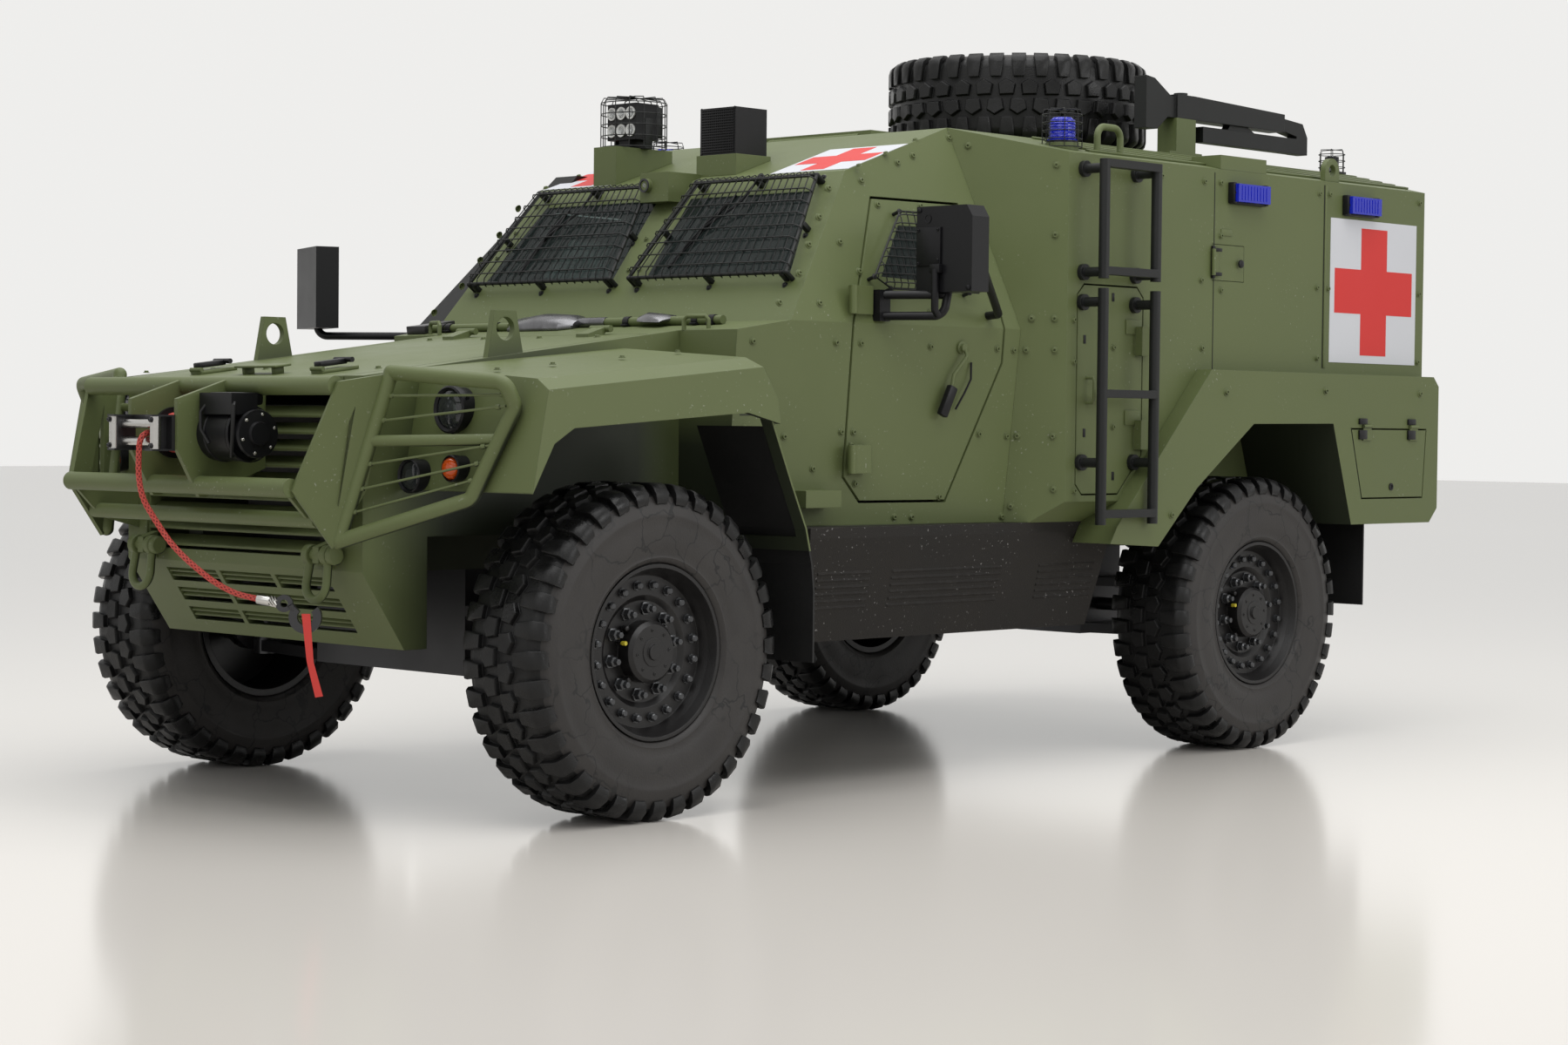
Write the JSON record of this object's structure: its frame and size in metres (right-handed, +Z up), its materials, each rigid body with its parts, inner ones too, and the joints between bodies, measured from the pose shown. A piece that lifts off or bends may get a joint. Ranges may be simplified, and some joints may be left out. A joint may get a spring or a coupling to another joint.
{
  "type": "military ambulance truck",
  "caption": "armoured four-wheel-drive field ambulance with sloped cab, hollow load box, front winch and brush guard, ladders and a roof spare wheel",
  "frame": {"origin": "on the ground under the middle of the vehicle", "axes": "+X the vehicle's left, +Y its rear, +Z up"},
  "size_m": [2.744, 5.732, 2.775],
  "materials": {
    "olive_paint": "matte olive drab coating",
    "black_paint": "satin black coating",
    "tyre_rubber": "moulded tyre rubber",
    "black_rubber": "flexible flap rubber",
    "dark_plastic": "textured housing plastic",
    "clear_glass": "thick armoured glass",
    "lamp_glass": "clear lamp lens",
    "blue_lens": "blue warning lens",
    "red_lens": "red lamp lens",
    "bright_steel": "brushed roller steel",
    "red_rope": "braided synthetic rope",
    "seat_fabric": "dark seat fabric",
    "engine_iron": "rough cast metal"
  },
  "bodies": {
    "chassis": {"air_duct": "dark_plastic", "blue_lamps": "blue_lens", "box_shell": "olive_paint", "brush_guard": "olive_paint", "cab_interior": "seat_fabric", "cab_shell": "olive_paint", "cab_steps": "olive_paint", "chassis_floor": "black_paint", "engine": "engine_iron", "fairlead": "black_paint", "fairlead_rollers": "bright_steel", "front_body": "olive_paint", "front_fenders": "olive_paint", "front_lamps": "lamp_glass", "grille": "olive_paint", "hook_strap": "red_rope", "mirror_right": "dark_plastic", "mud_flaps": "black_rubber", "pioneer_tools": "olive_paint", "rear_fenders": "olive_paint", "rear_lamps": "red_lens", "rear_step": "black_paint", "roof_electrics": "dark_plastic", "roof_fittings": "olive_paint", "rope_hook": "black_paint", "screen_guards": "black_paint", "shackles": "olive_paint", "side_skirts": "black_paint", "spare_wheel": "tyre_rubber", "suspension": "black_paint", "upper_ladder": "black_paint", "winch": "black_paint", "winch_rope": "red_rope", "windscreens": "clear_glass"},
    "front_door_left": {"front_door_left": "olive_paint", "door_glass_left": "clear_glass", "mirror_left": "dark_plastic"},
    "front_door_right": {"front_door_right": "olive_paint", "door_glass_right": "clear_glass"},
    "rear_door_left": {"rear_door_left": "olive_paint"},
    "rear_door_right": {"rear_door_right": "olive_paint"},
    "side_hatch": {"side_hatch": "olive_paint", "lower_ladder": "black_paint"},
    "filler_flap": {"filler_flap": "olive_paint"},
    "roof_hatch": {"roof_hatch": "olive_paint"},
    "hood": {"hood": "olive_paint"},
    "stowage_lid_left": {"stowage_lid_left": "olive_paint"},
    "stowage_lid_right": {"stowage_lid_right": "olive_paint"},
    "crane": {"crane_boom": "black_paint"},
    "steer_left": {"knuckle_left": "black_paint"},
    "steer_right": {"knuckle_right": "black_paint"},
    "wheel_front_left": {"tyre_front_left": "tyre_rubber", "rim_front_left": "black_paint"},
    "wheel_front_right": {"tyre_front_right": "tyre_rubber", "rim_front_right": "black_paint"},
    "wheel_rear_left": {"tyre_rear_left": "tyre_rubber", "rim_rear_left": "black_paint"},
    "wheel_rear_right": {"tyre_rear_right": "tyre_rubber", "rim_rear_right": "black_paint"}
  },
  "joints": [
    {"name": "steer_left", "type": "hinge", "parent": "chassis", "child": "steer_left", "pos_m": [0.88, -1.71, 0.54], "axis": [0, 0, 1], "range_deg": [-28, 28]},
    {"name": "steer_right", "type": "hinge", "parent": "chassis", "child": "steer_right", "pos_m": [-0.88, -1.71, 0.54], "axis": [0, 0, 1], "range_deg": [-28, 28]},
    {"name": "spin_front_left", "type": "hinge", "parent": "steer_left", "child": "wheel_front_left", "pos_m": [1.03, -1.71, 0.54], "axis": [1, 0, 0], "continuous": true},
    {"name": "spin_front_right", "type": "hinge", "parent": "steer_right", "child": "wheel_front_right", "pos_m": [-1.03, -1.71, 0.54], "axis": [1, 0, 0], "continuous": true},
    {"name": "spin_rear_left", "type": "hinge", "parent": "chassis", "child": "wheel_rear_left", "pos_m": [1.03, 1.59, 0.54], "axis": [1, 0, 0], "continuous": true},
    {"name": "spin_rear_right", "type": "hinge", "parent": "chassis", "child": "wheel_rear_right", "pos_m": [-1.03, 1.59, 0.54], "axis": [1, 0, 0], "continuous": true},
    {"name": "open_front_door_left", "type": "hinge", "parent": "chassis", "child": "front_door_left", "pos_m": [0.985, -0.582, 1.5], "axis": [0, 0, -1], "range_deg": [0, 75]},
    {"name": "open_front_door_right", "type": "hinge", "parent": "chassis", "child": "front_door_right", "pos_m": [-0.985, -0.582, 1.5], "axis": [0, 0, 1], "range_deg": [0, 75]},
    {"name": "open_rear_door_left", "type": "hinge", "parent": "chassis", "child": "rear_door_left", "pos_m": [0.655, 2.787, 1.6], "axis": [0, 0, -1], "range_deg": [0, 110]},
    {"name": "open_rear_door_right", "type": "hinge", "parent": "chassis", "child": "rear_door_right", "pos_m": [-0.655, 2.787, 1.6], "axis": [0, 0, 1], "range_deg": [0, 110]},
    {"name": "open_side_hatch", "type": "hinge", "parent": "chassis", "child": "side_hatch", "pos_m": [1.225, 0.822, 1.4], "axis": [0, 0, 1], "range_deg": [0, 90]},
    {"name": "open_filler_flap", "type": "hinge", "parent": "chassis", "child": "filler_flap", "pos_m": [1.202, 1.24, 1.915], "axis": [0, 0, -1], "range_deg": [0, 100]},
    {"name": "open_hood", "type": "hinge", "parent": "chassis", "child": "hood", "pos_m": [0, -1.2, 1.59458], "axis": [-1, 0, 0], "range_deg": [0, 70]},
    {"name": "open_roof_hatch", "type": "hinge", "parent": "chassis", "child": "roof_hatch", "pos_m": [0, 0.25, 2.38], "axis": [1, 0, 0], "range_deg": [0, 90]},
    {"name": "open_stowage_lid_left", "type": "hinge", "parent": "chassis", "child": "stowage_lid_left", "pos_m": [1.268, 2.41, 1.285], "axis": [0, -1, 0], "range_deg": [0, 90]},
    {"name": "open_stowage_lid_right", "type": "hinge", "parent": "chassis", "child": "stowage_lid_right", "pos_m": [-1.268, 2.41, 1.285], "axis": [0, 1, 0], "range_deg": [0, 90]},
    {"name": "slew_crane", "type": "hinge", "parent": "chassis", "child": "crane", "pos_m": [0.775, 1.59, 2.52], "axis": [0, 0, -1], "range_deg": [0, 40]}
  ],
  "couplings": [
    {"joint": "steer_right", "follows": "steer_left", "ratio": 1}
  ]
}
